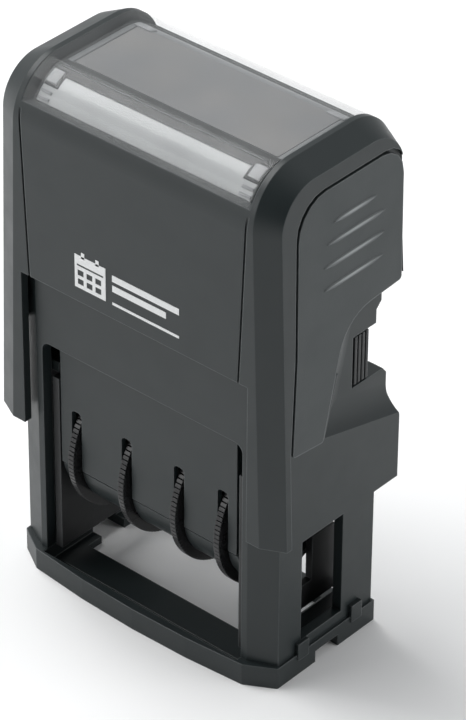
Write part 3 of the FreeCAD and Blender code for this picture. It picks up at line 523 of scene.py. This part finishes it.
# ------------------------------------------------------------------ meshes
def clothe(material: bpy.types.Material, *nodes: str) -> None:
    """Give CAD pieces a finish.

    Args:
        material: The finish.
        *nodes: Names of the pieces.
    """
    for name in nodes:
        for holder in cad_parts[name].material_slots:
            holder.material = material
        log.info("dressed %s in %s", name, material.name)


def mesh_piece(name: str, shape: bmesh.types.BMesh, material: bpy.types.Material,
               body: str) -> bpy.types.Object:
    """Turn a finished mesh into a piece that rides on a body.

    Args:
        name: Name of the piece.
        shape: The mesh, in metres; it is freed.
        material: Its finish.
        body: Body that it moves with.

    Returns:
        The new object.
    """
    bmesh.ops.recalc_face_normals(shape, faces=shape.faces)
    data = bpy.data.meshes.new(name)
    shape.to_mesh(data)
    shape.free()
    data.materials.append(material)
    for polygon in data.polygons:
        polygon.use_smooth = True
    piece = bpy.data.objects.new(name, data)
    bpy.context.collection.objects.link(piece)
    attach(piece, body)
    log.info("built %s on %s", name, body)
    return piece


def soften(piece: bpy.types.Object, width_mm: float, segments: int = 3) -> None:
    """Round the hard edges of a piece with real bevels."""
    bevel = piece.modifiers.new("round_edges", "BEVEL")
    bevel.width = width_mm * MM
    bevel.segments = segments
    bevel.limit_method = "ANGLE"
    piece.modifiers.new("even_normals", "WEIGHTED_NORMAL")


def curved_slab(across: Pair, arc: Pair, radii: Pair, centre: Pair, steps: int = 10) -> bmesh.types.BMesh:
    """Make a slab that bends about a line along X.

    Args:
        across: Low and high x, in mm.
        arc: First and last angle in degrees, from -Y towards +Z.
        radii: Inner and outer radius, in mm.
        centre: The y and z of the line, in mm.
        steps: Number of flats along the arc.

    Returns:
        The mesh, in metres.
    """
    shape = bmesh.new()
    rings = []
    for step in range(steps + 1):
        angle = math.radians(arc[0] + (arc[1] - arc[0]) * step / steps)
        ring = []
        corners = ((across[0], radii[0]), (across[1], radii[0]), (across[1], radii[1]), (across[0], radii[1]))
        for x, radius in corners:
            spot = Vector((x, centre[0] - radius * math.cos(angle), centre[1] + radius * math.sin(angle)))
            ring.append(shape.verts.new(spot * MM))
        rings.append(ring)
    for first, second in zip(rings, rings[1:]):
        for index in range(4):
            other = (index + 1) % 4
            shape.faces.new((first[index], first[other], second[other], second[index]))
    shape.faces.new(rings[0])
    shape.faces.new(rings[-1])
    return shape


# ------------------------------------------------------------ sub-assemblies
@dataclass
class Finishes:
    """All finishes of the stamp, each built once."""

    shell: bpy.types.Material = field(init=False)
    panel: bpy.types.Material = field(init=False)
    inner: bpy.types.Material = field(init=False)
    wheel: bpy.types.Material = field(init=False)
    clear: bpy.types.Material = field(init=False)
    plate: bpy.types.Material = field(init=False)
    sheen_liner: bpy.types.Material = field(init=False)
    card: bpy.types.Material = field(init=False)
    felt: bpy.types.Material = field(init=False)
    steel: bpy.types.Material = field(init=False)
    band: bpy.types.Material = field(init=False)
    mark: bpy.types.Material = field(init=False)
    tab: bpy.types.Material = field(init=False)

    def __post_init__(self) -> None:
        """Build the finishes."""
        self.shell = MouldedPlastic("shell_anthracite", (0.0135, 0.0190, 0.0200), (0.36, 0.43)).material()
        # panel finish: its light edge colour also paints highlight streaks along the rib crests
        self.panel = MouldedPlastic("panel_anthracite", (0.0315, 0.0385, 0.0400), (0.40, 0.48), Grain.MATT,
                                    0.3, (0.27, 0.288, 0.292), 0.4, PANEL_RIB_HIGHLIGHTS).material()
        self.inner = MouldedPlastic("inner_black", (0.02, 0.021, 0.022), (0.42, 0.55)).material()
        self.wheel = MouldedPlastic("wheel_black", (0.016, 0.016, 0.017), (0.2, 0.3), Grain.POLISHED,
                                    0.08, (0.10, 0.105, 0.108)).material()
        self.clear = ClearPlastic("window_clear").material()
        self.plate = PlatePlastic("plate_grey").material()
        # pale finish that paints the sheen of the window's front band
        self.sheen_liner = PlatePlastic("pale_sheen_liner", (0.46, 0.475, 0.48), (0.78, 0.795, 0.80)).material()
        self.card = PrintedCard("index_card_grey").material()
        self.felt = InkedFelt("felt_inked").material()
        self.steel = DrawnSteel("steel_drawn").material()
        self.band = BandRubber("band_rubber").material()
        self.mark = PadPrint("print_white").material()
        self.tab = MouldedPlastic("tab_frosted", (0.42, 0.43, 0.44), (0.2, 0.35), Grain.SATIN, 0.1,
                                  (0.7, 0.7, 0.7)).material()


@dataclass
class StampFrame:
    """The standing frame with its foot and guide plates."""

    finishes: Finishes

    def build(self) -> None:
        """Dress the frame."""
        clothe(self.finishes.shell, "frame_shell", "foot_ring")
        clothe(self.finishes.inner, "cam_plate_left", "cam_plate_right")


@dataclass
class InkPad:
    """The pull-out pad: tray and swollen felt."""

    finishes: Finishes
    cells: int = 28
    swell_mm: float = 0.35

    def build(self) -> None:
        """Dress the tray and make the felt."""
        clothe(self.finishes.inner, "ink_pad_tray")
        self.felt()

    def felt(self) -> bpy.types.Object:
        """Make the felt with pillowed faces and a napped surface.

        Returns:
            The felt.
        """
        low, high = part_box("ink_pad_felt")
        shape = bmesh.new()
        bmesh.ops.create_cube(shape, size=1.0)
        bmesh.ops.subdivide_edges(shape, edges=shape.edges, cuts=self.cells, use_grid_fill=True)
        size = high - low
        middle = (high + low) / 2
        for vertex in shape.verts:
            u, v, w = vertex.co
            crown = (1 - (2 * u) ** 6) * (1 - (2 * v) ** 6)
            nap = 0.06 * math.sin(91 * u + 37 * v) * math.sin(53 * v - 29 * u)
            inset = self.swell_mm * MM * (1 - crown - nap * crown)
            depth = size.z / 2 - max(0.0, inset)
            vertex.co = middle + Vector((u * size.x * 0.995, v * size.y * 0.995, 2 * w * depth))
        piece = mesh_piece("ink_felt_block", shape, self.finishes.felt, "pad")
        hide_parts("ink_pad_felt")
        return piece


@dataclass
class StampCap:
    """The pressed cap with its panels, card plate, guard and springs."""

    finishes: Finishes
    curve_centre: Pair = (-5.4, 74.5)
    rear_centre: Pair = (6.3, 74.5)
    window_half: float = 18.7
    plate_skin: float = 6.57

    def build(self) -> None:
        """Dress the cap and add the pale strip that paints the band's sheen, the dark slab that paints the
        channel's shade, and the tabs and clips that lie under the clear window.
        """
        clothe(self.finishes.shell, "cap_housing", "band_guard")
        clothe(self.finishes.panel, "grip_panel_left", "grip_panel_right")
        clothe(self.finishes.plate, "card_plate")
        clothe(self.finishes.card, "index_card")
        clothe(self.finishes.mark, "front_emblem")
        clothe(self.finishes.steel, "return_spring_left", "return_spring_right")
        self.seam_strip()
        for side in (-1, 1):
            self.snap_tab(side)
            self.rear_clip(side)

    def slab(self, name: str, across: Pair, arc: Pair, radii: Pair, material: bpy.types.Material,
             centre: Pair | None = None) -> bpy.types.Object:
        """Make one slab on the curve under the window.

        Args:
            name: Name of the piece.
            across: Low and high x, in mm.
            arc: First and last angle, in degrees.
            radii: Inner and outer radius, in mm.
            material: Its finish.
            centre: Middle of the curve, or None for the front curve.

        Returns:
            The slab.
        """
        shape = curved_slab(across, arc, radii, centre or self.curve_centre)
        piece = mesh_piece(name, shape, material, "cap")
        soften(piece, 0.04, 2)
        return piece

    def seam_strip(self) -> None:
        """Make the pale strip of the front band that paints its sheen, the dark slab behind it that paints
        the shade of the channel, and the lip in it.
        """
        reach = (-self.window_half, self.window_half)
        skin = self.plate_skin
        # pale strip that paints the sheen along the window's front curve
        self.slab("window_sheen_liner", reach, (14.0, 66.0), (skin, skin + 0.08), self.finishes.sheen_liner)
        # dark slab that paints the shade in the channel behind the front band
        self.slab("window_channel_shade", reach, (66.0, 92.0), (skin, skin + 0.12), self.finishes.inner)
        self.slab("window_lip", (reach[0] + 0.6, reach[1] - 1.4), (78.0, 79.0), (skin + 0.1, skin + 0.24),
                  self.finishes.plate)

    def snap_tab(self, side: int) -> None:
        """Make one front snap tab in its dark notch, with ribs under it."""
        word = "left" if side < 0 else "right"
        skin = self.plate_skin
        notch = sorted((side * 16.2, side * 18.7))
        tab = sorted((side * 16.7, side * 18.6))
        self.slab("tab_notch_" + word, tuple(notch), (49.0, 76.0), (skin, skin + 0.16), self.finishes.inner)
        self.slab("snap_tab_" + word, tuple(tab), (53.0, 71.0), (skin + 0.1, skin + 0.3), self.finishes.tab)
        for index in range(4):
            start = 14.0 + 8.5 * index
            self.slab("tab_rib_%s_%d" % (word, index), tuple(tab), (start, start + 4.0), (skin, skin + 0.25),
                      self.finishes.tab)

    def rear_clip(self, side: int) -> None:
        """Make one small clip at a rear corner of the plate."""
        word = "left" if side < 0 else "right"
        reach = sorted((side * 15.4, side * 18.4))
        skin = self.plate_skin
        self.slab("rear_clip_" + word, tuple(reach), (100.0, 112.0), (skin, skin + 0.25), self.finishes.tab,
                  self.rear_centre)


@dataclass
class IndexWindow:
    """The clear lift-off window."""

    finishes: Finishes

    def build(self) -> None:
        """Dress the window."""
        clothe(self.finishes.clear, "index_window")


@dataclass
class DateBlock:
    """The turning block with its wheels, bands, leaves and raised type."""

    finishes: Finishes
    words: tuple[str, ...] = ("one", "two", "three", "four")
    type_height: float = 3.1
    type_depth: float = 0.35
    axle_height: float = 20.67
    nose_height: float = 32.8
    hub_reach: float = 4.15
    front_reach: float = -2.45
    rear_reach: float = 3.95
    first_row: float = 1.9
    row_step: float = 3.9
    rows: int = 3
    wide_band: float = 5.0

    def build(self) -> None:
        """Dress the block and set the type on the bands."""
        clothe(self.finishes.inner, "yoke_cheek_left", "yoke_cheek_right", "nose_bar")
        clothe(self.finishes.shell, "wheel_shroud")
        clothe(self.finishes.steel, "wheel_axle", "axle_clips", "detent_spring")
        for count, word in enumerate(self.words):
            clothe(self.finishes.wheel, "thumb_wheel_" + word)
            clothe(self.finishes.band, "date_band_" + word)
            self.type_row(word, count)

    def type_row(self, word: str, count: int) -> None:
        """Set raised numerals on the front and rear runs of one band.

        Args:
            word: Name of the band.
            count: Its place in the row.
        """
        low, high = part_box("date_band_" + word)
        middle = (low.x + high.x) / 2 / MM
        digits = 2 if (high.x - low.x) > self.wide_band * MM else 1
        for side in (-1, 1):
            near = self.front_reach if side < 0 else self.rear_reach
            slope = (near - side * self.hub_reach) / (self.nose_height - self.axle_height)
            for step in range(self.rows):
                height = self.axle_height + self.first_row + self.row_step * step
                value = (3 * count + 4 * step + (5 if side > 0 else 1)) % 10
                text = "%d" % value if digits == 1 else "%d%d" % (step, value)
                reach = side * self.hub_reach + slope * (height - self.axle_height)
                self.numeral("type_%s_%s_%d" % (word, "front" if side < 0 else "rear", step), text,
                             Vector((middle, reach, height)), side, math.atan(slope))

    def numeral(self, name: str, text: str, spot: Vector, side: int, lean: float) -> bpy.types.Object:
        """Make one raised, mirrored numeral.

        Args:
            name: Name of the piece.
            text: The digits.
            spot: Middle of the numeral's back, in mm.
            side: -1 on the front run and 1 on the rear run.
            lean: Lean of the band's run, in radians.

        Returns:
            The numeral.
        """
        curve = bpy.data.curves.new(name, "FONT")
        curve.body = text
        curve.size = self.type_height * 1.25 * MM
        curve.extrude = self.type_depth / 2 * MM
        curve.align_x = "CENTER"
        curve.align_y = "CENTER"
        curve.resolution_u = 3
        drawn = bpy.data.objects.new(name + "_drawn", curve)
        bpy.context.collection.objects.link(drawn)
        bpy.context.view_layer.update()
        data = bpy.data.meshes.new_from_object(drawn)
        bpy.data.objects.remove(drawn)
        turn = Matrix.Rotation(math.pi / 2, 4, "X")
        facing = Matrix.Rotation(math.pi if side > 0 else 0.0, 4, "Z")
        tilt = Matrix.Rotation(-lean, 4, "X")
        mirror = Matrix.Scale(-1.0, 4, (1.0, 0.0, 0.0))
        data.transform(Matrix.Translation(spot * MM) @ tilt @ facing @ turn @ mirror)
        shape = bmesh.new()
        shape.from_mesh(data)
        piece = mesh_piece(name, shape, self.finishes.band, "block")
        for polygon in piece.data.polygons:
            polygon.use_smooth = False
        return piece


@dataclass
class Studio:
    """Table, lamps and camera."""

    aim: Vector = field(default_factory=lambda: Vector((0.0, -0.0015, 0.040)))
    azimuth: float = 41.862
    elevation: float = 34.989
    distance: float = 0.548711
    lens: float = 201.64
    shift: Pair = (0.0577, -0.0051)
    sky_strength: float = 0.66
    corner_strength: float = 0.06
    corner_reach: Pair = (0.35, 0.95)

    def build(self) -> None:
        """Set up the table, the lamps and the camera."""
        self.table()
        self.sky()
        self.lamp("lamp_top", (-0.40, -0.04, 0.60), 0.50, 4.2)
        self.lamp("lamp_right", (0.62, 0.26, 0.30), 0.50, 1.7)
        self.lamp("lamp_front", (-0.42, -0.60, 0.30), 0.40, 1.2)
        self.camera()

    def table(self) -> None:
        """Make the table top."""
        shape = bmesh.new()
        bmesh.ops.create_grid(shape, x_segments=8, y_segments=8, size=2.0)
        data = bpy.data.meshes.new("table_top")
        shape.to_mesh(data)
        shape.free()
        data.materials.append(TableTop("table_pale").material())
        table = bpy.data.objects.new("table_top", data)
        bpy.context.collection.objects.link(table)
        table.location.z = CAD_BOX[0][2] - TABLE_GAP_MM * MM

    def toward_lens(self) -> Vector:
        """Give the direction from the stamp to the camera."""
        turn = math.radians(self.azimuth)
        rise = math.radians(self.elevation)
        return Vector((math.cos(rise) * math.sin(turn), -math.cos(rise) * math.cos(turn), math.sin(rise)))

    def sky(self) -> None:
        """Light the room with a pale sky that is dim in the corner behind the camera."""
        world = bpy.data.worlds.new("room")
        bpy.context.scene.world = world
        world.use_nodes = True
        tree = world.node_tree
        shade = tree.nodes["Background"]
        shade.inputs["Color"].default_value = (0.97, 0.985, 1.0, 1.0)
        way = tree.nodes.new("ShaderNodeTexCoord")
        dot = tree.nodes.new("ShaderNodeVectorMath")
        dot.operation = "DOT_PRODUCT"
        dot.inputs[1].default_value = self.toward_lens()
        ease = tree.nodes.new("ShaderNodeMapRange")
        ease.interpolation_type = "SMOOTHSTEP"
        for name, value in zip(RANGE_NAMES, (*self.corner_reach, self.sky_strength, self.corner_strength)):
            ease.inputs[name].default_value = value
        tree.links.new(way.outputs["Generated"], dot.inputs[0])
        tree.links.new(dot.outputs["Value"], ease.inputs["Value"])
        tree.links.new(ease.outputs["Result"], shade.inputs["Strength"])

    def lamp(self, name: str, spot: Colour, size: float, power: float) -> None:
        """Hang one soft lamp that looks at the stamp.

        Args:
            name: Name of the lamp.
            spot: Its place, in metres.
            size: Side of its square, in metres.
            power: Its power, in watts.
        """
        data = bpy.data.lights.new(name, "AREA")
        data.size = size
        data.energy = power
        lamp = bpy.data.objects.new(name, data)
        bpy.context.collection.objects.link(lamp)
        lamp.location = spot
        lamp.rotation_euler = (self.aim - lamp.location).to_track_quat("-Z", "Y").to_euler()

    def camera(self) -> None:
        """Stand the camera at its viewing angle."""
        data = bpy.data.cameras.new("camera")
        camera = bpy.data.objects.new("camera", data)
        bpy.context.collection.objects.link(camera)
        away = self.toward_lens()
        camera.location = self.aim + away * self.distance
        camera.rotation_euler = (-away).to_track_quat("-Z", "Y").to_euler()
        data.lens = self.lens
        data.sensor_width = 36.0
        data.shift_x, data.shift_y = self.shift
        data.clip_start = 0.01
        bpy.context.scene.camera = camera


def main() -> None:
    """Build every sub-assembly in order and set up the studio."""
    logging.basicConfig(level=logging.INFO, format="%(name)s: %(message)s")
    finishes = Finishes()
    for part in (StampFrame, InkPad, StampCap, IndexWindow, DateBlock):
        part(finishes).build()
        log.info("finished %s", part.__name__)
    Studio().build()
    bpy.context.scene.view_settings.view_transform = "Standard"


if __name__ == "__main__":
    main()
